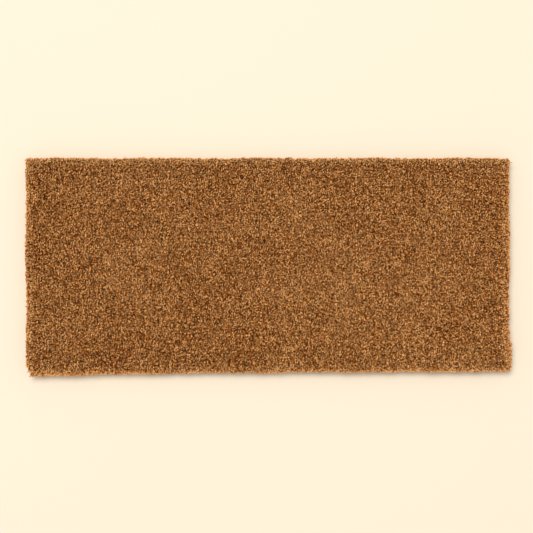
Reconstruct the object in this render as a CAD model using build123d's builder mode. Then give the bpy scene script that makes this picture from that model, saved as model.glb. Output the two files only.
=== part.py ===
from build123d import *

import os
from math import asin, atan2, hypot, tan

# A hand-woven coir door mat, lying on its back. X runs along the mat, Y across it, Z up.
# The origin is on the floor, under the middle of the mat. All sizes are in millimetres.
#
# The ground is a plain weave on two chains of warp: tight chains that lie straight, and slack
# chains that dip between them. One continuous weft turns back round a selvage warp at each
# side. Tufts of coir fibre stand in rows across the mat, one row between each pair of shots.
# A lashed cord finishes each short end.

# Driving dimensions
mat_length = 1000.0
mat_width = 450.0
mat_height = 30.0
row_count = 120
row_pitch = 8.2
chain_count = 31
chain_pitch = 14.0
rows_in_node = 3

tight_radius = 1.4
slack_radius = 1.0  # half the thickness of a slack chain, which is pressed square
weft_radius = 1.2
selvage_radius = 1.3
end_cord_radius = 2.0
lashing_radius = 0.7
touch_gap = 0.05  # between yarns that lie against each other
shot_overhang = 5.0  # of a shot's straight part, past the outermost tight chain
selvage_overhang = 1.0  # of the selvage warp, past a shot's straight part
end_cord_overhang = 4.0  # of an end cord, past a shot's straight part
lashing_gap = 0.02  # between an end cord and its lashing

# Pile
row_foot_half = 2.6  # half the thickness of a row where it leaves the ground
foot_half_width = 214.0  # half the length of a row where it leaves the ground
spread_height = 24.0  # where a row reaches its full width
tip_gap = 0.15  # half the parting between the tips of two rows
tip_rounding = 1.0
outward_lean = (8.1, 4.4, 2.0)  # of the tips of the last rows at each short end, outermost first

# Ground heights, worked out from the yarns' radii
weft_offset = tight_radius + weft_radius + touch_gap
wrap_radius = weft_radius + slack_radius + touch_gap  # from a shot to the middle of a chain round it
ground_middle = weft_offset + wrap_radius + slack_radius
pile_foot = ground_middle + weft_offset + wrap_radius + slack_radius + touch_gap

# Shots of weft, one more than the rows. Even shots pass over the tight chains, odd ones under.
shot_count = row_count + 1
last_shot_x = row_count * row_pitch / 2
shot_spacing = hypot(row_pitch, 2 * weft_offset)
turn_radius = shot_spacing / 2
turn_y = (chain_count - 1) * chain_pitch / 2 + shot_overhang  # where a shot starts to turn back
selvage_y = turn_y + selvage_overhang
weft_tail = 3.0  # of the two loose ends of the weft, past the turning line

# The end cord lies as close to the last shot as its lashing lets it
lashing_ring_radius = end_cord_radius + lashing_radius + lashing_gap
end_cord_spacing = lashing_ring_radius + lashing_radius + weft_radius + touch_gap
end_cord_x = last_shot_x + (end_cord_spacing**2 - weft_offset**2) ** 0.5
end_cord_half_length = turn_y + end_cord_overhang
tight_half_length = end_cord_x - end_cord_radius - touch_gap


def shot_x(shot):
    """Where a shot of weft crosses the mat."""
    return (shot - row_count / 2) * row_pitch


def shot_z(shot):
    """The height of a shot: over the tight chains when even, under them when odd."""
    return ground_middle + (weft_offset if shot % 2 == 0 else -weft_offset)


def row_tip_x(row):
    """Where the tips of a row stand, with the rows at the short ends leaning outwards."""
    upright = (row - (row_count - 1) / 2) * row_pitch
    from_left, from_right = row, row_count - 1 - row
    if from_left < len(outward_lean):
        return upright - outward_lean[from_left]
    if from_right < len(outward_lean):
        return upright + outward_lean[from_right]
    return upright


def row_outline(row):
    """The outline of a row from the front: narrow at the foot, meeting its neighbours at the tips."""
    foot_x = (row - (row_count - 1) / 2) * row_pitch
    left, right = -mat_length / 2, mat_length / 2
    if row > 0:
        left = (row_tip_x(row - 1) + row_tip_x(row)) / 2 + tip_gap
    if row < row_count - 1:
        right = (row_tip_x(row) + row_tip_x(row + 1)) / 2 - tip_gap
    return (
        (foot_x - row_foot_half, pile_foot),
        (foot_x + row_foot_half, pile_foot),
        (right, spread_height),
        (right, mat_height),
        (left, mat_height),
        (left, spread_height),
    )


def row_side_outline(row):
    """The outline of a row seen from the side. The front left corner has lost its last tuft."""
    missing = chain_pitch if row == 0 else 0
    return (
        (missing - foot_half_width, pile_foot),
        (foot_half_width, pile_foot),
        (mat_width / 2, spread_height),
        (mat_width / 2, mat_height),
        (missing - mat_width / 2, mat_height),
        (missing - mat_width / 2, spread_height),
    )


def make_tight_warp():
    """The straight chains that each row of tufts is hung on."""
    with BuildPart() as tight_warp:
        with BuildSketch(Plane.YZ.offset(-tight_half_length)):
            with Locations((0, ground_middle)):
                with GridLocations(chain_pitch, 0, chain_count, 1):
                    Circle(tight_radius)
        extrude(amount=2 * tight_half_length)
    return tight_warp


def slack_outline():
    """The outline of one slack chain seen from the front, folded over and under the shots."""
    slope = atan2(2 * weft_offset, row_pitch) + asin(2 * wrap_radius / shot_spacing)
    outer, inner = wrap_radius + slack_radius, wrap_radius - slack_radius
    above, below = [], []
    for shot in range(shot_count):
        x, z = shot_x(shot), shot_z(shot)
        top, bottom = (outer, inner) if shot % 2 == 0 else (-inner, -outer)
        # A chain is cut off at the middle of the first shot and of the last
        folds = {0: (0, 1), row_count: (-1, 0)}.get(shot, (-1, 1))
        above += [(x + fold * abs(top) * tan(slope / 2), z + top) for fold in folds]
        below += [(x + fold * abs(bottom) * tan(slope / 2), z + bottom) for fold in folds]
    return above + below[::-1]


def make_slack_warp():
    """The chains that pass over the even shots and under the odd ones, between the tight chains."""
    with BuildPart() as slack_warp:
        with BuildSketch(Plane.XZ.offset(-slack_radius)):
            Polygon(*slack_outline(), align=None)
        extrude(amount=2 * slack_radius)
    with BuildPart() as slack_warps:
        with GridLocations(0, chain_pitch, 1, chain_count - 1):
            add(slack_warp.part)
    return slack_warps


def make_weft():
    """One yarn, laid shot by shot from the left end to the right, turning back at each side."""
    with BuildPart() as weft:
        with BuildLine() as route:
            for shot in range(shot_count):
                x, z = shot_x(shot), shot_z(shot)
                side = 1 if shot % 2 == 0 else -1
                start_y = -side * (turn_y + (weft_tail if shot == 0 else 0))
                end_y = side * (turn_y + (weft_tail if shot == row_count else 0))
                Line((x, start_y, z), (x, end_y, z))
                if shot < row_count:
                    outermost = (x + row_pitch / 2, side * (turn_y + turn_radius), ground_middle)
                    next_start = (shot_x(shot + 1), end_y, shot_z(shot + 1))
                    ThreePointArc((x, end_y, z), outermost, next_start)
        with BuildSketch(Plane(origin=route.line @ 0, z_dir=route.line % 0)):
            Circle(weft_radius)
        sweep(path=route.line)
    return weft


def make_selvage_warp(side):
    """The straight yarn inside the turns of the weft. side is -1 at the front and 1 at the back."""
    with BuildPart() as selvage_warp:
        with BuildSketch(Plane.YZ.offset(-last_shot_x)):
            with Locations((side * selvage_y, ground_middle)):
                Circle(selvage_radius)
        extrude(amount=2 * last_shot_x)
    return selvage_warp


def make_end_cord(end):
    """The cord along a short end. end is -1 at the left and 1 at the right."""
    with BuildPart() as end_cord:
        with BuildSketch(Plane.XZ.offset(-end_cord_half_length)):
            with Locations((end * end_cord_x, ground_middle)):
                Circle(end_cord_radius)
        extrude(amount=2 * end_cord_half_length)
    return end_cord


def make_end_lashing(end):
    """The turns of yarn round an end cord, one between each pair of tight chains."""
    with BuildPart() as ring:
        Torus(lashing_ring_radius, lashing_radius, rotation=(90, 0, 0))
    with BuildPart() as end_lashing:
        with Locations((end * end_cord_x, 0, ground_middle)):
            with GridLocations(0, chain_pitch, 1, chain_count - 1):
                add(ring.part)
    return end_lashing


def make_pile_row(row):
    """One row of tufts, as a bar of fibre that widens from the weft up to its rounded tips."""
    with BuildPart() as pile_row:
        with BuildSketch(Plane.XZ.offset(-mat_width)):
            Polygon(*row_outline(row), align=None)
        extrude(amount=2 * mat_width)
        with BuildSketch(Plane.YZ.offset(-mat_length)):
            Polygon(*row_side_outline(row), align=None)
        extrude(amount=2 * mat_length, mode=Mode.INTERSECT)
        fillet(pile_row.faces().sort_by(Axis.Z)[-1].edges(), tip_rounding)
    return pile_row


def make_pile_rows(first_row):
    """A few neighbouring rows of tufts."""
    with BuildPart() as pile_rows:
        for row in range(first_row, first_row + rows_in_node):
            add(make_pile_row(row).part)
    return pile_rows


def write(piece, name):
    """Names a finished piece and writes its file."""
    piece.part.label = name
    export_step(piece.part, f"parts/{name}.step", write_pcurves=False)


os.makedirs("parts", exist_ok=True)
write(make_tight_warp(), "tight_warp")
write(make_slack_warp(), "slack_warp")
write(make_weft(), "weft")
write(make_selvage_warp(-1), "front_selvage_warp")
write(make_selvage_warp(1), "back_selvage_warp")
write(make_end_cord(-1), "left_end_cord")
write(make_end_cord(1), "right_end_cord")
write(make_end_lashing(-1), "left_end_lashing")
write(make_end_lashing(1), "right_end_lashing")
for number in range(row_count // rows_in_node):
    write(make_pile_rows(number * rows_in_node), f"pile_rows_{number + 1:02d}")

print("slack chains fold at", wrap_radius, "from a shot, weft turn radius", round(turn_radius, 2))
print("ground is", round(pile_foot, 2), "thick, end cords at x", round(end_cord_x, 2))
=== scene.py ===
import math
import random

import bpy
from bpy.props import FloatProperty, FloatVectorProperty, IntProperty, PointerProperty
from mathutils import Matrix, Vector


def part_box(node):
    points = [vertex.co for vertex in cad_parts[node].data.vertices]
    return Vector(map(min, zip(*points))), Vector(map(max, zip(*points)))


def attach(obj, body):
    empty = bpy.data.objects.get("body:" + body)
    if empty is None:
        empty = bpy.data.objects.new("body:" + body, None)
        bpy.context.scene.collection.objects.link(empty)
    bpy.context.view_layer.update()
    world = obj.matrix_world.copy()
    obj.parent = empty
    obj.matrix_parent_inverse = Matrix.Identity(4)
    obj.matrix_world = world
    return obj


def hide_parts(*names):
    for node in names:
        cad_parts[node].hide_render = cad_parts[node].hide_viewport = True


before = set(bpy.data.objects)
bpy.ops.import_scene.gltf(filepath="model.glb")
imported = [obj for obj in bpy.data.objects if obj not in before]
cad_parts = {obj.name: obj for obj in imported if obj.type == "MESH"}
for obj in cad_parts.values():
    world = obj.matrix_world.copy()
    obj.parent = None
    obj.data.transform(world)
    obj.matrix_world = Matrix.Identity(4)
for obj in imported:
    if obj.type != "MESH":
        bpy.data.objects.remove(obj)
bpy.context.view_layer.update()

bl_info = {
    "name": "Coir Door Mat",
    "version": (1, 0, 0),
    "blender": (4, 5, 0),
    "location": "View3D > Sidebar > Door Mat",
    "description": "Builds a hand-woven coir door mat on its packed frame",
    "category": "Object",
}

MM = 0.001
ROWS = 120
CHAINS = 31
ROWS_IN_PIECE = 3
TIGHT_RADIUS = 1.4 * MM
TOUCH_GAP = 0.05 * MM
LEG_OFFSET = 2.1 * MM  # from the middle of a tight chain to the root of a leg
SHOT_OVERHANG = 5 * MM  # of a shot's straight part, past the outermost tight chain
WEFT_TAIL = 3 * MM
SELVAGE_OVERHANG = 6 * MM
END_CORD_OVERHANG = 9 * MM
LASHING_RADIUS = 0.7 * MM
LASHING_RING_RADIUS = 2.72 * MM
LOOSE_FIBRE_RADIUS = 0.5 * MM
LOOSE_FIBRE_STEP = 2.6 * MM
CORE_TONE = 0.45
LOOSE_FIBRE_TONE = 0.95
CORNER_RADIUS = 11 * MM
TIP_REACH_X = 0.499
TIP_REACH_Y = 0.223
RIM_START_X = 0.478  # where the painted light on the rim of the pile starts, and how soon it is full
RIM_START_Y = 0.206
RIM_WIDTH_X = 0.016
RIM_WIDTH_Y = 0.012
TIP_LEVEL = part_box("pile_rows_01")[1][2]
GROUND_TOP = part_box("pile_rows_01")[0][2]
MIDDLE = sum(corner[2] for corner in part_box("left_end_cord")) / 2
CORD_X = sum(corner[0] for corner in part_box("right_end_cord")) / 2
LEGS_IN_UV_ROW = 15
INNER_LEGS = 16  # different legs that the tufts are copied from
EDGE_LEGS = 8
HOOKS = ((0.68, 2.8), (0.76, 3.7), (0.82, 4.6))  # height of the kink and reach of a hooked bristle
END_LEANS = (10.0, 7.4, 5.2, 3.5, 2.2, 1.2, 0.5)  # of the rows at a short end in mm, outermost first
LOOSE_FIBRE_RISES = (5.4, 1.5, 0.4, 0.1, -0.2, -0.8, -3.0)  # of each step of a loose fibre, in mm
EDGE_WANDER = 1.1 * MM


# ---------------------------------------------------------------- settings

def length(name, description, millimetres):
    """A size that is shown in millimetres or inches, whichever the scene uses."""
    return FloatProperty(
        name=name, description=description, default=millimetres * MM, subtype="DISTANCE",
        unit="LENGTH", precision=5,
    )


def colour(name, description, default):
    """A colour swatch."""
    return FloatVectorProperty(
        name=name, description=description, default=default, subtype="COLOR", min=0, max=1,
    )


class DoorMatWeave(bpy.types.PropertyGroup):
    """Sizes of the ground weave."""

    row_pitch: length("Row pitch", "Distance between rows of tufts, along the mat", 8.2)
    chain_pitch: length("Chain pitch", "Distance between tight chains, across the mat", 14.0)
    weft_radius: length("Weft radius", "Half the thickness of the weft yarn", 1.2)
    slack_radius: length("Slack chain radius", "Half the thickness of a slack chain", 1.0)
    strand_turn: length("Strand turn", "Length in which a spun yarn's strands turn once", 12.0)


class DoorMatPile(bpy.types.PropertyGroup):
    """Sizes of the tufts."""

    fibres: IntProperty(
        name="Fibres in a leg", description="Bristles in each leg of a tuft", default=15, min=6, max=20,
    )
    fibre_width: length("Fibre width", "Half the thickness of a bristle at its tip", 1.25)
    core_width: length("Core width", "Half the thickness of the packed core of a leg", 4.0)
    root_spread: length("Root spread", "How far the fibres stand from a leg's middle at the weft", 1.5)
    tip_spread: length("Tip spread", "How far the tips of neighbouring legs grow into each other", 2.3)
    unevenness: length("Unevenness", "How much the trimmed tips differ in height", 2.2)
    stray: length("Stray", "How far a leg's tips stand from their place in the row", 1.25)
    edge_lean: length("Edge lean", "How far the outermost tufts lean out at the long sides", 6.5)
    seed: IntProperty(name="Seed", description="Picks another arrangement of the fibres", default=11)


class DoorMatColours(bpy.types.PropertyGroup):
    """Colours of the coir and of the floor."""

    pile_dark: colour("Pile, dark", "The darkest fibres", (0.25, 0.068, 0.014))
    pile_mid: colour("Pile, middle", "Most of the fibres", (0.81, 0.312, 0.066))
    pile_light: colour("Pile, light", "The palest fibres", (1.0, 0.57, 0.225))
    yarn: colour("Yarn", "The spun coir of the ground", (0.36, 0.18, 0.075))
    floor: colour("Floor", "The plain floor", (0.895, 0.795, 0.635))


def weave():
    """The sizes of the ground, as the panel shows them."""
    return bpy.context.scene.door_mat_weave


def pile():
    """The sizes of the tufts, as the panel shows them."""
    return bpy.context.scene.door_mat_pile


def colours():
    """The colours, as the panel shows them."""
    return bpy.context.scene.door_mat_colours


# ---------------------------------------------------------------- shared steps

def select_only(*things):
    """Leaves just these selected, the first one active."""
    if bpy.context.object is not None and bpy.context.object.mode != "OBJECT":
        bpy.ops.object.mode_set(mode="OBJECT")
    bpy.ops.object.select_all(action="DESELECT")
    for thing in things:
        thing.select_set(True)
    if things:
        bpy.context.view_layer.objects.active = things[0]


def join(things, name):
    """Joins meshes into one piece at the origin."""
    select_only(*things)
    if len(things) > 1:
        bpy.ops.object.join()
    piece = bpy.context.view_layer.objects.active
    piece.name = name
    piece.data.name = name
    return piece


def copy_of(mesh, matrix):
    """Places a copy of a mesh, with its place in the mesh itself."""
    own_mesh = mesh.copy()
    own_mesh.transform(matrix)
    thing = bpy.data.objects.new(mesh.name, own_mesh)
    bpy.context.scene.collection.objects.link(thing)
    return thing


def take_away(thing):
    """Removes a pattern piece once its copies are made, and keeps its mesh for them."""
    mesh = thing.data
    mesh.use_fake_user = True
    bpy.data.objects.remove(thing)
    return mesh


def finish_piece(piece, material, slot, *nodes):
    """Gives a piece its material and its body, and hides the CAD nodes it stands for."""
    piece.data.materials.clear()
    piece.data.materials.append(material)
    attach(piece, "root")
    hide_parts(*nodes)


def row_x(row):
    """Where a row of tufts is rooted."""
    return (row - (ROWS - 1) / 2) * weave().row_pitch


def shot_x(shot):
    """Where a shot of weft crosses the mat."""
    return (shot - ROWS / 2) * weave().row_pitch


def chain_y(chain):
    """The line of a tight chain."""
    return (chain - (CHAINS - 1) / 2) * weave().chain_pitch


def shot_z(shot):
    """The height of a shot: over the tight chains when even, under them when odd."""
    offset = TIGHT_RADIUS + weave().weft_radius + TOUCH_GAP
    return MIDDLE + (offset if shot % 2 == 0 else -offset)


# ---------------------------------------------------------------- materials

def new_group(name, inputs, outputs):
    """An empty node group with named sockets."""
    group = bpy.data.node_groups.new(name, "ShaderNodeTree")
    for label, kind, default in inputs:
        socket = group.interface.new_socket(label, in_out="INPUT", socket_type=kind)
        socket.default_value = default
    for label, kind in outputs:
        group.interface.new_socket(label, in_out="OUTPUT", socket_type=kind)
    return group, group.nodes.new("NodeGroupInput"), group.nodes.new("NodeGroupOutput")


def maths(tree, operation, first, second=None, clamp=False):
    """A math node fed by sockets or numbers."""
    node = tree.nodes.new("ShaderNodeMath")
    node.operation = operation
    node.use_clamp = clamp
    for socket, value in zip(node.inputs, (first, second)):
        if value is None:
            continue
        if isinstance(value, (int, float)):
            socket.default_value = value
        else:
            tree.links.new(value, socket)
    return node.outputs[0]


def ramp(tree, value, start, width):
    """Rises from 0 at start to 1 a width further on."""
    return maths(tree, "DIVIDE", maths(tree, "SUBTRACT", value, start), width, True)


def blend_colours(tree, factor, first, second, mode="MIX"):
    """A colour mix node fed by sockets, numbers or colours."""
    node = tree.nodes.new("ShaderNodeMix")
    node.data_type = "RGBA"
    node.blend_type = mode
    for socket, value in ((node.inputs[0], factor), (node.inputs[6], first), (node.inputs[7], second)):
        if isinstance(value, (int, float, tuple)):
            socket.default_value = value
        else:
            tree.links.new(value, socket)
    return node.outputs[2]


def noise(tree, position, scale, detail=2.0, distortion=0.0):
    """A noise texture on the given coordinates."""
    node = tree.nodes.new("ShaderNodeTexNoise")
    node.inputs["Scale"].default_value = scale
    node.inputs["Detail"].default_value = detail
    node.inputs["Distortion"].default_value = distortion
    tree.links.new(position, node.inputs["Vector"])
    return node.outputs["Fac"]


def stretched(tree, position, scale):
    """Scaled coordinates: a pattern on them comes out longer along an axis scaled below 1."""
    node = tree.nodes.new("ShaderNodeMapping")
    node.inputs["Scale"].default_value = scale
    tree.links.new(position, node.inputs["Vector"])
    return node.outputs[0]


def coir_tone_group():
    """Mixes the three tones of coir, with streaks and patches of lighter, darker and redder fibre."""
    group, given, made = new_group(
        "Coir tone",
        (
            ("Position", "NodeSocketVector", (0, 0, 0)), ("Tone", "NodeSocketFloat", 0.5),
            ("Dark", "NodeSocketColor", (0, 0, 0, 1)), ("Middle", "NodeSocketColor", (0, 0, 0, 1)),
            ("Light", "NodeSocketColor", (0, 0, 0, 1)), ("Patchiness", "NodeSocketFloat", 0.3),
        ),
        (("Colour", "NodeSocketColor"), ("Roughness", "NodeSocketFloat")),
    )
    position = given.outputs["Position"]
    clumps = noise(group, stretched(group, position, (1.0, 0.48, 0.12)), 500.0, 0.0, 0.4)
    tuft_sized = noise(group, position, 75.0)
    broad = noise(group, position, 9.0)
    swing = maths(group, "MULTIPLY", maths(group, "SUBTRACT", clumps, 0.5), 5.2)
    swing = maths(group, "ADD", swing, maths(group, "SUBTRACT", tuft_sized, 0.5))
    swing = maths(group, "ADD", swing, maths(group, "SUBTRACT", broad, 0.5))
    tone = maths(group, "ADD", given.outputs["Tone"],
                 maths(group, "MULTIPLY", swing, given.outputs["Patchiness"]), clamp=True)
    low = maths(group, "MULTIPLY", tone, 2.0, clamp=True)
    high = maths(group, "SUBTRACT", maths(group, "MULTIPLY", tone, 2.0), 1.0, clamp=True)
    dark_to_middle = blend_colours(group, low, given.outputs["Dark"], given.outputs["Middle"])
    mixed = blend_colours(group, high, dark_to_middle, given.outputs["Light"])
    redder = noise(group, position, 38.0)
    redness = maths(group, "MULTIPLY", maths(group, "SUBTRACT", redder, 0.42), 0.9, clamp=True)
    tinted = blend_colours(group, redness, mixed, (0.34, 0.105, 0.028, 1))
    group.links.new(tinted, made.inputs["Colour"])
    roughness = maths(group, "SUBTRACT", 0.86, maths(group, "MULTIPLY", tone, 0.22))
    group.links.new(roughness, made.inputs["Roughness"])
    return group


def ply_group():
    """The slanting grooves between the strands of a spun yarn, from its length and girth: a height for the
    bump, and a painted shade for the grooves.
    """
    group, given, made = new_group(
        "Spun strands",
        (
            ("Along", "NodeSocketFloat", 0.0), ("Round", "NodeSocketFloat", 0.0),
            ("Turns", "NodeSocketFloat", 80.0), ("Strands", "NodeSocketFloat", 2.0),
        ),
        (("Height", "NodeSocketFloat"), ("Painted groove shade", "NodeSocketFloat")),
    )
    turned = maths(group, "ADD", maths(group, "MULTIPLY", given.outputs["Along"], given.outputs["Turns"]),
                   given.outputs["Round"])
    wave = maths(group, "ABSOLUTE", maths(group, "SINE", maths(
        group, "MULTIPLY", maths(group, "MULTIPLY", turned, given.outputs["Strands"]), math.pi)))
    group.links.new(wave, made.inputs["Height"])
    group.links.new(maths(group, "POWER", wave, 0.6), made.inputs["Painted groove shade"])
    return group


def start_material(name):
    """A material with its shader and the piece's own coordinates."""
    material = bpy.data.materials.new(name)
    material.use_nodes = True
    tree = material.node_tree
    shader = tree.nodes["Principled BSDF"]
    place = tree.nodes.new("ShaderNodeTexCoord").outputs["Object"]
    return material, tree, shader, place


def rgba(swatch):
    """A swatch as a colour with alpha."""
    return (*swatch, 1.0)


def coir_fibre_material():
    """Loose coir: each fibre has its own tone, with painted shade that darkens it towards the root and
    painted light that brightens it round the mat's rim, most along the back.
    """
    material, tree, shader, place = start_material("Coir fibre")
    tone = tree.nodes.new("ShaderNodeAttribute")
    tone.attribute_name = "fibre_tone"
    parts = tree.nodes.new("ShaderNodeSeparateXYZ")
    tree.links.new(place, parts.inputs[0])
    ends = ramp(tree, maths(tree, "ABSOLUTE", parts.outputs[0]), RIM_START_X, RIM_WIDTH_X)
    sides = ramp(tree, maths(tree, "ABSOLUTE", parts.outputs[1]), RIM_START_Y, RIM_WIDTH_Y)
    rim = maths(tree, "MAXIMUM", ends, sides)
    # Painted light: the fibres are lightened round the rim, and more along the back side, which faces the
    # key light.
    back = ramp(tree, parts.outputs[1], RIM_START_Y, RIM_WIDTH_Y)
    painted_rim_light = maths(tree, "ADD", maths(tree, "MULTIPLY", rim, 0.27), maths(tree, "MULTIPLY", back, 0.32))
    group = tree.nodes.new("ShaderNodeGroup")
    group.node_tree = bpy.data.node_groups["Coir tone"]
    tree.links.new(place, group.inputs["Position"])
    tree.links.new(maths(tree, "ADD", tone.outputs["Fac"], painted_rim_light), group.inputs["Tone"])
    group.inputs["Dark"].default_value = rgba(colours().pile_dark)
    group.inputs["Middle"].default_value = rgba(colours().pile_mid)
    group.inputs["Light"].default_value = rgba(colours().pile_light)
    group.inputs["Patchiness"].default_value = 0.55
    # Painted shade: the colour darkens deeper in the pile, towards the ground.
    depth = ramp(tree, parts.outputs[2], GROUND_TOP, TIP_LEVEL - GROUND_TOP)
    shade = maths(tree, "ADD", maths(tree, "MULTIPLY", maths(tree, "POWER", depth, 3.0), 0.5), 0.5)
    # Painted light on the rim's outer wall: it is kept brighter there, darker towards the ground.
    wall = maths(tree, "ADD", maths(tree, "MULTIPLY", depth, 0.45), 0.48)
    shade = maths(tree, "MAXIMUM", shade, maths(tree, "MULTIPLY", rim, wall))
    shaded = blend_colours(tree, 1.0, group.outputs["Colour"], shade, "MULTIPLY")
    tree.links.new(shaded, shader.inputs["Base Color"])
    tree.links.new(group.outputs["Roughness"], shader.inputs["Roughness"])
    shader.inputs["Specular IOR Level"].default_value = 0.03
    streaks = stretched(tree, place, (1.0, 1.0, 0.18))
    bump = tree.nodes.new("ShaderNodeBump")
    bump.inputs["Strength"].default_value = 0.5
    bump.inputs["Distance"].default_value = 0.4 * MM
    tree.links.new(noise(tree, streaks, 2600.0), bump.inputs["Height"])
    tree.links.new(bump.outputs["Normal"], shader.inputs["Normal"])
    return material


def spun_material(name, turns, strands):
    """Spun coir yarn, with slanting strands, painted shade in the grooves between them and fibre streaks
    that follow it.
    """
    material, tree, shader, place = start_material(name)
    yarn_map = tree.nodes.new("ShaderNodeUVMap")
    yarn_map.uv_map = "yarn"
    parts = tree.nodes.new("ShaderNodeSeparateXYZ")
    tree.links.new(yarn_map.outputs[0], parts.inputs[0])
    ply = tree.nodes.new("ShaderNodeGroup")
    ply.node_tree = bpy.data.node_groups["Spun strands"]
    ply.inputs["Turns"].default_value = turns
    ply.inputs["Strands"].default_value = strands
    tree.links.new(parts.outputs[0], ply.inputs["Along"])
    tree.links.new(parts.outputs[1], ply.inputs["Round"])
    group = tree.nodes.new("ShaderNodeGroup")
    group.node_tree = bpy.data.node_groups["Coir tone"]
    tree.links.new(place, group.inputs["Position"])
    yarn = colours().yarn
    group.inputs["Tone"].default_value = 0.5
    group.inputs["Dark"].default_value = tuple(0.35 * part for part in yarn) + (1.0,)
    group.inputs["Middle"].default_value = rgba(yarn)
    group.inputs["Light"].default_value = tuple(min(1.0, 1.6 * part) for part in yarn) + (1.0,)
    group.inputs["Patchiness"].default_value = 0.8
    # Painted shade: the yarn's colour darkens in the grooves between its strands.
    painted_groove_shade = maths(tree, "ADD", maths(tree, "MULTIPLY", ply.outputs["Painted groove shade"], 0.6), 0.4)
    shaded = blend_colours(tree, 1.0, group.outputs["Colour"], painted_groove_shade, "MULTIPLY")
    tree.links.new(shaded, shader.inputs["Base Color"])
    tree.links.new(group.outputs["Roughness"], shader.inputs["Roughness"])
    shader.inputs["Specular IOR Level"].default_value = 0.3
    rough = maths(tree, "MULTIPLY", noise(tree, place, 1800.0), 0.5)
    bump = tree.nodes.new("ShaderNodeBump")
    bump.inputs["Strength"].default_value = 0.9
    bump.inputs["Distance"].default_value = 0.5 * MM
    tree.links.new(maths(tree, "ADD", ply.outputs["Height"], rough), bump.inputs["Height"])
    tree.links.new(bump.outputs["Normal"], shader.inputs["Normal"])
    return material


def floor_material():
    """A plain pale floor with a breath of unevenness."""
    material, tree, shader, place = start_material("Floor")
    tint = noise(tree, place, 1.2)
    floor = colours().floor
    darker = tuple(0.985 * part for part in floor) + (1.0,)
    tree.links.new(blend_colours(tree, tint, rgba(floor), darker), shader.inputs["Base Color"])
    shader.inputs["Roughness"].default_value = 0.9
    shader.inputs["Specular IOR Level"].default_value = 0.1
    return material


# ---------------------------------------------------------------- yarns

def lay_yarn(name, routes, radius, sides=1):
    """A tube along each route, made a mesh with the map that its strands follow."""
    curve = bpy.data.curves.new(name, "CURVE")
    curve.dimensions = "3D"
    curve.bevel_depth = radius
    curve.bevel_resolution = sides
    curve.use_fill_caps = True
    for route in routes:
        spline = curve.splines.new("POLY")
        spline.points.add(len(route) - 1)
        spline.points.foreach_set("co", [part for point in route for part in (*point, 1.0)])
    piece = bpy.data.objects.new(name, curve)
    bpy.context.scene.collection.objects.link(piece)
    select_only(piece)
    bpy.ops.object.convert(target="MESH")
    piece = bpy.context.view_layer.objects.active
    bpy.ops.object.mode_set(mode="EDIT")
    bpy.ops.mesh.select_all(action="SELECT")
    bpy.ops.mesh.normals_make_consistent(inside=False)
    bpy.ops.object.mode_set(mode="OBJECT")
    bpy.ops.object.shade_smooth_by_angle(angle=math.radians(50))
    if piece.data.uv_layers:
        piece.data.uv_layers[0].name = "yarn"
    return piece


def arc(centre, radius, start, finish, steps):
    """Points on an arc in the plane of the mat's length and height, angles in degrees."""
    points = []
    for step in range(steps + 1):
        angle = math.radians(start + (finish - start) * step / steps)
        points.append((centre[0] + radius * math.cos(angle), centre[1] + radius * math.sin(angle)))
    return points


def slack_route(y):
    """A slack chain's way over the even shots and under the odd ones."""
    wrap = weave().weft_radius + weave().slack_radius + TOUCH_GAP
    rise = shot_z(0) - shot_z(1)
    spacing = math.hypot(weave().row_pitch, rise)
    slope = math.degrees(math.atan2(rise, weave().row_pitch) + math.asin(2 * wrap / spacing))
    route = []
    for shot in range(ROWS + 1):
        top, turn = (90, -1) if shot % 2 == 0 else (270, 1)
        start = top - turn * slope if shot > 0 else top
        finish = top + turn * slope if shot < ROWS else top
        for x, z in arc((shot_x(shot), shot_z(shot)), wrap, start, finish, 3):
            route.append((x, y, z))
    return route


def weft_route():
    """The whole weft: shot after shot, turning back at each side."""
    turn_y = chain_y(CHAINS - 1) + SHOT_OVERHANG
    reach = math.hypot(weave().row_pitch, shot_z(0) - shot_z(1)) / 2
    route = []
    for shot in range(ROWS + 1):
        side = 1 if shot % 2 == 0 else -1
        x, z = shot_x(shot), shot_z(shot)
        route.append((x, -side * (turn_y + (WEFT_TAIL if shot == 0 else 0)), z))
        for part in range(1, 12):
            route.append((x, side * turn_y * (part / 6 - 1), z))
        if shot == ROWS:
            route.append((x, side * (turn_y + WEFT_TAIL), z))
            break
        route.append((x, side * turn_y, z))
        middle_x = (x + shot_x(shot + 1)) / 2
        for step in range(1, 8):
            angle = math.pi * step / 8
            across, out = math.cos(angle), math.sin(angle)
            turned_x, turned_z = middle_x + (x - middle_x) * across, MIDDLE + (z - MIDDLE) * across
            route.append((turned_x, side * (turn_y + reach * out), turned_z))
    return route


def twisted_strands(start, end, lay_radius, strands, turn):
    """The helical routes of the strands of a yarn between two points."""
    start, end = Vector(start), Vector(end)
    along = (end - start).normalized()
    side = Vector((0, 0, 1)).cross(along)
    up = along.cross(side)
    steps = int((end - start).length / turn * 9)
    routes = []
    for strand in range(strands):
        route = []
        for step in range(steps + 1):
            angle = 2 * math.pi * (step / 9 + strand / strands)
            point = start.lerp(end, step / steps)
            route.append(point + lay_radius * (math.cos(angle) * side + math.sin(angle) * up))
        routes.append(route)
    return routes


def lashing_route(side):
    """One yarn wound along an end cord, a turn to each chain."""
    y_end = chain_y(CHAINS - 1)
    turns = CHAINS - 1
    route = []
    for step in range(turns * 14 + 1):
        angle = 2 * math.pi * step / 14
        y = -y_end + 2 * y_end * step / (turns * 14)
        out, up = LASHING_RING_RADIUS * math.cos(angle), LASHING_RING_RADIUS * math.sin(angle)
        route.append((side * (CORD_X + out), y, MIDDLE + up))
    return route


# ---------------------------------------------------------------- tufts

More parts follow.
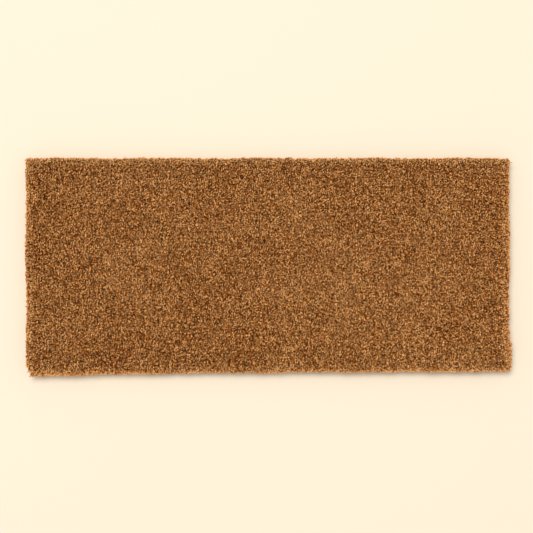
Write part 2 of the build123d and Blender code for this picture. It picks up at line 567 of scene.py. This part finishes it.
def shape_fibre(name, kink, hook):
    """A three-sided bristle, one unit tall and in radius at its tip, bent over above its kink if hooked."""
    select_only()
    bpy.ops.mesh.primitive_cone_add(vertices=3, radius1=0.62, radius2=1.0, depth=1, location=(0, 0, 0.5))
    fibre = bpy.context.object
    fibre.name = name
    bpy.ops.object.transform_apply(location=True, rotation=True, scale=True)
    if hook:
        bpy.ops.object.mode_set(mode="EDIT")
        bpy.ops.mesh.select_all(action="SELECT")
        bpy.ops.mesh.bisect(plane_co=(0, 0, kink), plane_no=(0, 0, 1))
        bpy.ops.object.mode_set(mode="OBJECT")
        for vertex in fibre.data.vertices:
            vertex.select = vertex.co.z > 0.99
        bpy.ops.object.mode_set(mode="EDIT")
        bpy.ops.transform.translate(value=(hook, 0, 0))
        bpy.ops.transform.resize(value=(0.75, 0.75, 1))
        bpy.ops.object.mode_set(mode="OBJECT")
    return keep_shape(fibre)


def shape_core():
    """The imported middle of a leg, one unit tall and one in radius, under a domed top."""
    select_only()
    bpy.ops.mesh.primitive_cone_add(
        vertices=6, radius1=0.95, radius2=1.0, depth=1, end_fill_type="TRIFAN", location=(0, 0, 0.5),
    )
    core = bpy.context.object
    core.name = "leg_core"
    bpy.ops.object.transform_apply(location=True, rotation=True, scale=True)
    for vertex in core.data.vertices:
        vertex.select = vertex.co.z > 0.99 and vertex.co.xy.length < 0.01
    bpy.ops.object.mode_set(mode="EDIT")
    bpy.ops.transform.translate(value=(0, 0, 0.12))
    bpy.ops.object.mode_set(mode="OBJECT")
    return keep_shape(core)


def keep_shape(thing):
    """Maps a shape round and up, gives it room for its tone and keeps its mesh."""
    mesh = thing.data
    while mesh.uv_layers:
        mesh.uv_layers.remove(mesh.uv_layers[0])
    unwrap = mesh.uv_layers.new(name="OFBake")
    for loop in mesh.loops:
        x, y, z = mesh.vertices[loop.vertex_index].co
        unwrap.data[loop.index].uv = (0.5 + math.atan2(y, x) / (2 * math.pi), min(z, 1.0))
    mesh.attributes.new("fibre_tone", "FLOAT", "POINT")
    return take_away(thing)


def slanted(root, tip, width, turn):
    """Stands a one-unit bristle on its root, slants it to its tip and keeps its cut end level."""
    matrix = Matrix.Diagonal((width, width, tip[2] - root[2], 1.0)) @ Matrix.Rotation(turn, 4, "Z")
    slant = Matrix.Identity(4)
    rise = tip[2] - root[2]
    slant[0][2] = (tip[0] - root[0]) / rise
    slant[1][2] = (tip[1] - root[1]) / rise
    return Matrix.Translation(root) @ slant @ matrix


def bunch(name, shapes, chance, tips, way, swing, core_height, hooked_to):
    """Joins slanted copies of the bristles into one leg of a tuft.

    Its hooked ones fall along way, to either hand. Where a tip stands past hooked_to along X the
    bristle is a straight one.
    """
    settings = pile()
    straight, hooked, core = shapes
    things = []
    for number, tip in enumerate(tips):
        angle, out = chance.uniform(0, 2 * math.pi), settings.root_spread * math.sqrt(chance.random())
        root = (out * math.cos(angle), 0.75 * out * math.sin(angle), MIDDLE)
        width = settings.fibre_width * chance.uniform(0.65, 1.25)
        turn = way + chance.gauss(0, swing) + math.pi * chance.randrange(2)
        shape = straight if number % 5 in (1, 3) or tip[0] > hooked_to else chance.choice(hooked)
        thing = copy_of(shape, slanted(root, tip, width, turn))
        set_fibre(thing, number, min(1.0, max(0.0, chance.gauss(0.5, 0.36))))
        things.append(thing)
    top = MIDDLE + core_height * (TIP_LEVEL - MIDDLE)
    foot = (0, 0, GROUND_TOP)
    middle = copy_of(core, slanted(foot, (0, 0, top), settings.core_width, chance.uniform(0, 2 * math.pi)))
    set_fibre(middle, len(tips), CORE_TONE)
    return take_away(join([*things, middle], name))


def set_fibre(thing, number, tone):
    """Gives a fibre its tone and its place in its leg's share of the map."""
    mesh = thing.data
    mesh.attributes["fibre_tone"].data.foreach_set("value", [tone] * len(mesh.vertices))
    column, line = number % 5, number // 5
    for corner in mesh.uv_layers["OFBake"].data:
        corner.uv = ((column + 0.1 + 0.8 * corner.uv[0]) / 5, (line + 0.1 + 0.8 * corner.uv[1]) / 6)


def inner_tips(chance, count):
    """Tips spread over a leg's share of the tread and a little past it, every fourth one cut short."""
    half_x = weave().row_pitch / 2 + pile().tip_spread
    half_y = weave().chain_pitch / 4 + pile().tip_spread
    tips = []
    for number in range(count):
        column, line = number % 5, number // 5
        x = -half_x + 2 * half_x * (column + chance.random()) / 5
        y = -half_y + 2 * half_y * (line + chance.random()) / math.ceil(count / 5)
        short = 5 * MM * chance.random() if number % 4 == 2 else 0.0
        tips.append((x, y, TIP_LEVEL - short - pile().unevenness * chance.random() ** 2))
    return tips


def edge_tips(chance, count):
    """Tips of an outermost leg: half stand, the rest step down as a rounded wall on its local +X side."""
    standing = count // 2
    half_y = weave().row_pitch / 2 + 0.4 * MM
    tips = []
    for number in range(count):
        if number < standing:
            x = -5.5 * MM + 7.0 * MM * (number + chance.random()) / standing
            y, drop = chance.uniform(-1, 1) * half_y, 0.0
        else:
            share = (number - standing + chance.random()) / (count - standing)
            x = 1.2 * MM + 1.9 * MM * math.sin(share * math.pi / 2)
            across = 2 * ((number * 0.618) % 1.0) - 1
            x, y = x - 1.3 * MM * across ** 2, half_y * across
            drop = 12 * MM * share ** 1.6
        tips.append((x, y, TIP_LEVEL - pile().unevenness * chance.random() - drop))
    chance.shuffle(tips)
    return tips


def shape_root_loop():
    """The loop of fibre that carries a tuft's two legs under its tight chain."""
    select_only()
    bpy.ops.mesh.primitive_torus_add(
        major_segments=8, minor_segments=4, major_radius=2.15 * MM, minor_radius=0.7 * MM,
        location=(0, 0, 0), rotation=(0, math.pi / 2, 0),
    )
    loop = bpy.context.object
    bpy.ops.object.transform_apply(location=True, rotation=True, scale=True)
    bpy.ops.object.mode_set(mode="EDIT")
    bpy.ops.mesh.select_all(action="SELECT")
    bpy.ops.mesh.bisect(plane_co=(0, 0, 0), plane_no=(0, 0, 1), use_fill=True, clear_outer=True)
    bpy.ops.mesh.select_all(action="SELECT")
    bpy.ops.transform.resize(value=(3.0, 1, 1))
    bpy.ops.object.mode_set(mode="OBJECT")
    mesh = loop.data
    while mesh.uv_layers:
        mesh.uv_layers.remove(mesh.uv_layers[0])
    unwrap = mesh.uv_layers.new(name="OFBake")
    for corner in mesh.loops:
        _, y, z = mesh.vertices[corner.vertex_index].co
        unwrap.data[corner.index].uv = (0.5 + 100 * y, 0.9 + 0.04 * (z < 0))
    tone = mesh.attributes.new("fibre_tone", "FLOAT", "POINT")
    tone.data.foreach_set("value", [CORE_TONE] * len(mesh.vertices))
    return take_away(loop)


def loose_fibres(chance, first_row):
    """The long ends that curl over the tips of a few tufts, lying on the pile."""
    routes = []
    for _ in range(chance.choice((1, 2, 2, 3))):
        x = row_x(first_row + 1) + chance.uniform(-1, 1) * 1.4 * weave().row_pitch
        y = chance.uniform(-0.96, 0.96) * chain_y(CHAINS - 1)
        heading, bend = chance.uniform(0, 2 * math.pi), chance.uniform(-0.35, 0.35)
        route = [Vector((x, y, TIP_LEVEL - 6 * MM))]
        for rise in LOOSE_FIBRE_RISES:
            ahead, aside = LOOSE_FIBRE_STEP * math.cos(heading), LOOSE_FIBRE_STEP * math.sin(heading)
            route.append(route[-1] + Vector((ahead, aside, rise * MM)))
            heading += bend
        if all(abs(point.x) < 0.48 for point in route):
            routes.append(route)
    return routes


class Tufts:
    """The shapes that every tuft of the mat is a copy of."""

    def __init__(self):
        chance = random.Random(pile().seed)
        straight = shape_fibre("bristle_straight", 0, 0)
        hooked = [shape_fibre(f"bristle_hooked_{number}", *hook) for number, hook in enumerate(HOOKS)]
        shapes = (straight, hooked, shape_core())
        count = pile().fibres
        across = math.pi / 2
        self.inner = []
        for number in range(INNER_LEGS):
            tips = inner_tips(chance, count)
            self.inner.append(bunch(f"leg_{number}", shapes, chance, tips, across, 0.6, 0.58, 1.0))
        self.edge = []
        for number in range(EDGE_LEGS):
            tips = edge_tips(chance, count + 12)
            self.edge.append(bunch(f"edge_leg_{number}", shapes, chance, tips, across, 0.6, 0.55, 0.0))
        self.root_loop = shape_root_loop()
        self.chance = chance


def wander(position, reach, phase):
    """A slow in-and-out wander, so the mat's edges aren't dead straight."""
    slow = math.sin(31 * position + phase) + 0.6 * math.sin(77 * position + 2.1 * phase)
    return reach * (slow + 0.8 * math.sin(430 * position + 3 * phase)) / 1.6


def end_lean(row):
    """How far a row's tips lean out at the short ends."""
    from_right = ROWS - 1 - row
    if row < len(END_LEANS):
        return -END_LEANS[row] * MM
    if from_right < len(END_LEANS):
        return END_LEANS[from_right] * MM
    return 0.0


def side_lean(leg):
    """How far a leg's tips lean out at the long sides."""
    reach = pile().edge_lean
    leans = (reach, 0.66 * reach, 0.42 * reach, 0.25 * reach, 0.12 * reach)
    last = 2 * CHAINS - 1
    if leg < len(leans):
        return -leans[leg]
    if last - leg < len(leans):
        return leans[last - leg]
    return 0.0


def within_corner(x, y):
    """Draws a tip in where the mat's corners are rounded."""
    middle_x, middle_y = TIP_REACH_X - CORNER_RADIUS, TIP_REACH_Y - CORNER_RADIUS
    past_x, past_y = abs(x) - middle_x, abs(y) - middle_y
    past = math.hypot(past_x, past_y)
    if past_x <= 0 or past_y <= 0 or past <= CORNER_RADIUS:
        return x, y
    share = CORNER_RADIUS / past
    return math.copysign(middle_x + share * past_x, x), math.copysign(middle_y + share * past_y, y)


def leg_tip(chance, row, leg, root_x, root_y):
    """Where the middle of a leg's tips stands, and whether it is at an end or at a side."""
    chain, hand = leg // 2, (-1 if leg % 2 == 0 else 1)
    tip_y = chain_y(chain) + hand * weave().chain_pitch / 4 + side_lean(leg)
    tip_x = root_x + end_lean(row)
    at_end, at_side = row in (0, ROWS - 1), leg in (0, 2 * CHAINS - 1)
    if at_end:
        tip_x += wander(root_y, EDGE_WANDER, 1.0 if row else 4.0)
    if at_side:
        tip_y += wander(root_x, EDGE_WANDER, 2.0 if leg else 5.0)
    # The front edge swells towards its left end, and the right end towards its front corner
    if leg < 5:
        tip_y -= (1 - leg / 5) * 6.5 * MM * max(0.0, -2 * root_x) ** 2
    if row > ROWS - 4 and root_y < -0.16:
        tip_x += 1.2 * MM * (row - ROWS + 4)
    stray = (0.5 if at_end or at_side else 1.0) * pile().stray
    tip_x += stray * chance.uniform(-1.7, 1.7)
    tip_y += stray * chance.uniform(-1.7, 1.7)
    return *within_corner(tip_x, tip_y), at_end, at_side


def plant_leg(tufts, row, leg):
    """Places one leg of a tuft, leaning as its place in the mat asks."""
    chance = tufts.chance
    hand = -1 if leg % 2 == 0 else 1
    root_x, root_y = row_x(row), chain_y(leg // 2) + hand * LEG_OFFSET
    tip_x, tip_y, at_end, at_side = leg_tip(chance, row, leg, root_x, root_y)
    if at_end or at_side:
        outward = math.atan2(hand if at_side else 0, (1 if row else -1) if at_end else 0)
        mesh = chance.choice(tufts.edge)
        turn = Matrix.Rotation(outward, 4, "Z")
    else:
        mesh = chance.choice(tufts.inner)
        turn = Matrix.Rotation(math.pi * chance.randrange(2), 4, "Z")
    slant = Matrix.Identity(4)
    rise = TIP_LEVEL - MIDDLE
    slant[0][2] = (tip_x - root_x) / rise
    slant[1][2] = (tip_y - root_y) / rise
    slant[2][2] = 1.0 + chance.uniform(-0.035, 0.02)
    to_root = Matrix.Translation((root_x, root_y, MIDDLE))
    return copy_of(mesh, to_root @ slant @ Matrix.Translation((0, 0, -MIDDLE)) @ turn)


def share_map(thing, number):
    """Gives a leg its own square of the piece's map."""
    column, line = number % LEGS_IN_UV_ROW, number // LEGS_IN_UV_ROW
    layer = thing.data.uv_layers["OFBake"]
    flat = [0.0] * (2 * len(layer.data))
    layer.data.foreach_get("uv", flat)
    flat[0::2] = [(column + value) / LEGS_IN_UV_ROW for value in flat[0::2]]
    flat[1::2] = [(line + value) / LEGS_IN_UV_ROW for value in flat[1::2]]
    layer.data.foreach_set("uv", flat)


def lay_loose_fibres(routes):
    """Makes the long ends, with their own tone and a corner of the map."""
    loose = lay_yarn("loose_fibres", routes, LOOSE_FIBRE_RADIUS, 0)
    mesh = loose.data
    while mesh.uv_layers:
        mesh.uv_layers.remove(mesh.uv_layers[0])
    unwrap = mesh.uv_layers.new(name="OFBake")
    for corner in mesh.loops:
        _, y, z = mesh.vertices[corner.vertex_index].co
        unwrap.data[corner.index].uv = (0.5 + y, 0.93 + z)
    tone = mesh.attributes.new("fibre_tone", "FLOAT", "POINT")
    tone.data.foreach_set("value", [LOOSE_FIBRE_TONE] * len(mesh.vertices))
    return loose


def plant_rows(tufts, first_row):
    """A few neighbouring rows of tufts, as one piece."""
    things = []
    for row in range(first_row, first_row + ROWS_IN_PIECE):
        for leg in range(2 * CHAINS):
            if row == 0 and leg < 2:
                continue
            thing = plant_leg(tufts, row, leg)
            share_map(thing, (row - first_row) * 2 * CHAINS + leg)
            things.append(thing)
            if leg % 2:
                place = Matrix.Translation((row_x(row), chain_y(leg // 2), MIDDLE))
                things.append(copy_of(tufts.root_loop, place))
    routes = loose_fibres(tufts.chance, first_row)
    if routes:
        things.append(lay_loose_fibres(routes))
    return join(things, f"tufts_{first_row // ROWS_IN_PIECE + 1:02d}")


# ---------------------------------------------------------------- operators

class BuildMaterials(bpy.types.Operator):
    """Mixes the coir and floor materials"""

    bl_idname = "door_mat.materials"
    bl_label = "Mix materials"

    def execute(self, context):
        coir_tone_group()
        ply_group()
        coir_fibre_material()
        spun_material("Ground yarn", 80.0, 2.0)
        spun_material("Cord yarn", 30.0, 1.0)
        floor_material()
        return {"FINISHED"}


class BuildWeft(bpy.types.Operator):
    """Lays the weft, which turns back at each side"""

    bl_idname = "door_mat.weft"
    bl_label = "Lay weft"

    def execute(self, context):
        weft = lay_yarn("weft_yarn", [weft_route()], weave().weft_radius, 2)
        finish_piece(weft, bpy.data.materials["Ground yarn"], "coir_yarn", "weft")
        return {"FINISHED"}


class BuildChains(bpy.types.Operator):
    """Lays the tight chains and the slack chains that run the length of the mat"""

    bl_idname = "door_mat.chains"
    bl_label = "Lay chains"

    def execute(self, context):
        yarn = bpy.data.materials["Ground yarn"]
        reach = CORD_X - 2.1 * MM
        spots = [-reach + 2 * reach * part / 60 for part in range(61)]
        tight = [[(x, chain_y(chain), MIDDLE) for x in spots] for chain in range(CHAINS)]
        tight_piece = lay_yarn("tight_chains", tight, TIGHT_RADIUS, 1)
        finish_piece(tight_piece, yarn, "coir_yarn", "tight_warp")
        half = weave().chain_pitch / 2
        slack = [slack_route(chain_y(chain) + half) for chain in range(CHAINS - 1)]
        slack_piece = lay_yarn("slack_chains", slack, weave().slack_radius, 0)
        finish_piece(slack_piece, yarn, "coir_yarn", "slack_warp")
        return {"FINISHED"}


class BuildSelvages(bpy.types.Operator):
    """Twists the yarn that runs inside the weft's turns at each long side"""

    bl_idname = "door_mat.selvages"
    bl_label = "Twist selvages"

    def execute(self, context):
        for side, name in ((-1, "front_selvage_warp"), (1, "back_selvage_warp")):
            y = side * (chain_y(CHAINS - 1) + SELVAGE_OVERHANG)
            x = -shot_x(0)
            strands = twisted_strands((-x, y, MIDDLE), (x, y, MIDDLE), 0.62 * MM, 2, weave().strand_turn)
            piece = lay_yarn(name.replace("warp", "yarn"), strands, 0.68 * MM)
            finish_piece(piece, bpy.data.materials["Cord yarn"], "coir_yarn", name)
        return {"FINISHED"}


class BuildEndCords(bpy.types.Operator):
    """Twists the cords along the short ends and lashes them"""

    bl_idname = "door_mat.end_cords"
    bl_label = "Twist end cords"

    def execute(self, context):
        reach = chain_y(CHAINS - 1) + END_CORD_OVERHANG
        material = bpy.data.materials["Cord yarn"]
        for side, name in ((-1, "left"), (1, "right")):
            x = side * CORD_X
            front, back = (x, -reach, MIDDLE), (x, reach, MIDDLE)
            strands = twisted_strands(front, back, 0.95 * MM, 3, 2 * weave().strand_turn)
            cord = lay_yarn(f"{name}_cord", strands, 1.06 * MM)
            finish_piece(cord, material, "coir_cord", f"{name}_end_cord")
            lashing = lay_yarn(f"{name}_lashing", [lashing_route(side)], LASHING_RADIUS)
            finish_piece(lashing, material, "coir_cord", f"{name}_end_lashing")
        return {"FINISHED"}


class BuildPile(bpy.types.Operator):
    """Plants the rows of coir tufts"""

    bl_idname = "door_mat.pile"
    bl_label = "Plant tufts"

    def execute(self, context):
        tufts = Tufts()
        material = bpy.data.materials["Coir fibre"]
        for number in range(ROWS // ROWS_IN_PIECE):
            piece = plant_rows(tufts, number * ROWS_IN_PIECE)
            finish_piece(piece, material, "coir_pile", f"pile_rows_{number + 1:02d}")
        for mesh in list(bpy.data.meshes):
            if mesh.use_fake_user:
                bpy.data.meshes.remove(mesh)
        return {"FINISHED"}


class BuildStage(bpy.types.Operator):
    """Lays the floor, sets the light and the sky, and puts the camera above the mat"""

    bl_idname = "door_mat.stage"
    bl_label = "Set stage"

    def execute(self, context):
        select_only()
        bpy.ops.mesh.primitive_plane_add(size=14, location=(0, 0, 0))
        floor = context.object
        floor.name = "floor"
        floor.data.materials.append(bpy.data.materials["Floor"])
        self.add_lights(context)
        self.add_camera(context)
        return {"FINISHED"}

    def add_lights(self, context):
        """A big soft key high above, a little to the back left, and an even sky."""
        select_only()
        bpy.ops.object.light_add(type="AREA", location=(-2.0, 2.8, 10.2))
        key = context.object
        key.name = "key_light"
        key.data.size = 5.0
        key.data.energy = 860.0
        key.data.color = (1.0, 0.985, 0.96)
        key.rotation_euler = (-Vector(key.location)).to_track_quat("-Z", "Y").to_euler()
        world = bpy.data.worlds.new("Soft room")
        context.scene.world = world
        world.use_nodes = True
        sky = world.node_tree.nodes["Background"]
        sky.inputs["Color"].default_value = (1.0, 0.98, 0.95, 1.0)
        sky.inputs["Strength"].default_value = 0.52
        context.scene.view_settings.view_transform = "Standard"

    def add_camera(self, context):
        """Looks almost straight down, from slightly left of the middle."""
        away, tilt, roll = 3.0, math.radians(1.75), math.radians(0.12)
        select_only()
        bpy.ops.object.camera_add()
        camera = context.object
        camera.name = "camera"
        middle = Vector((-0.0050, -0.0024, TIP_LEVEL))
        back = Vector((-math.sin(tilt), 0, math.cos(tilt)))
        camera.location = middle + away * back
        right = Vector((math.cos(tilt), 0, math.sin(tilt)))
        up = back.cross(right)
        turned = Matrix((right, up, back)).transposed().to_4x4() @ Matrix.Rotation(-roll, 4, "Z")
        camera.rotation_euler = turned.to_euler()
        camera.data.sensor_width = 36.0
        camera.data.lens = 36.0 * away / 1.099
        context.scene.camera = camera


class DoorMatPanel(bpy.types.Panel):
    """The steps of the mat and its sizes"""

    bl_idname = "VIEW3D_PT_door_mat"
    bl_label = "Door Mat"
    bl_space_type = "VIEW_3D"
    bl_region_type = "UI"
    bl_category = "Door Mat"

    def draw(self, context):
        layout = self.layout
        for step in STEPS:
            layout.operator(step.bl_idname)
        for settings in (weave(), pile(), colours()):
            box = layout.box()
            for name in settings.bl_rna.properties.keys():
                if name not in {"rna_type", "name"}:
                    box.prop(settings, name)


STEPS = (BuildMaterials, BuildWeft, BuildChains, BuildSelvages, BuildEndCords, BuildPile, BuildStage)
SETTINGS = (DoorMatWeave, DoorMatPile, DoorMatColours)


def register():
    """Adds the classes and hangs the settings on the scene."""
    for kind in (*SETTINGS, *STEPS, DoorMatPanel):
        bpy.utils.register_class(kind)
    bpy.types.Scene.door_mat_weave = PointerProperty(type=DoorMatWeave)
    bpy.types.Scene.door_mat_pile = PointerProperty(type=DoorMatPile)
    bpy.types.Scene.door_mat_colours = PointerProperty(type=DoorMatColours)


def unregister():
    """Takes the settings and the classes away again."""
    for name in ("door_mat_weave", "door_mat_pile", "door_mat_colours"):
        delattr(bpy.types.Scene, name)
    for kind in reversed((*SETTINGS, *STEPS, DoorMatPanel)):
        bpy.utils.unregister_class(kind)


def main():
    """Builds the mat and its stage."""
    register()
    bpy.ops.door_mat.materials()
    bpy.ops.door_mat.weft()
    bpy.ops.door_mat.chains()
    bpy.ops.door_mat.selvages()
    bpy.ops.door_mat.end_cords()
    bpy.ops.door_mat.pile()
    bpy.ops.door_mat.stage()
    bpy.context.view_layer.update()


if __name__ == "__main__":
    main()
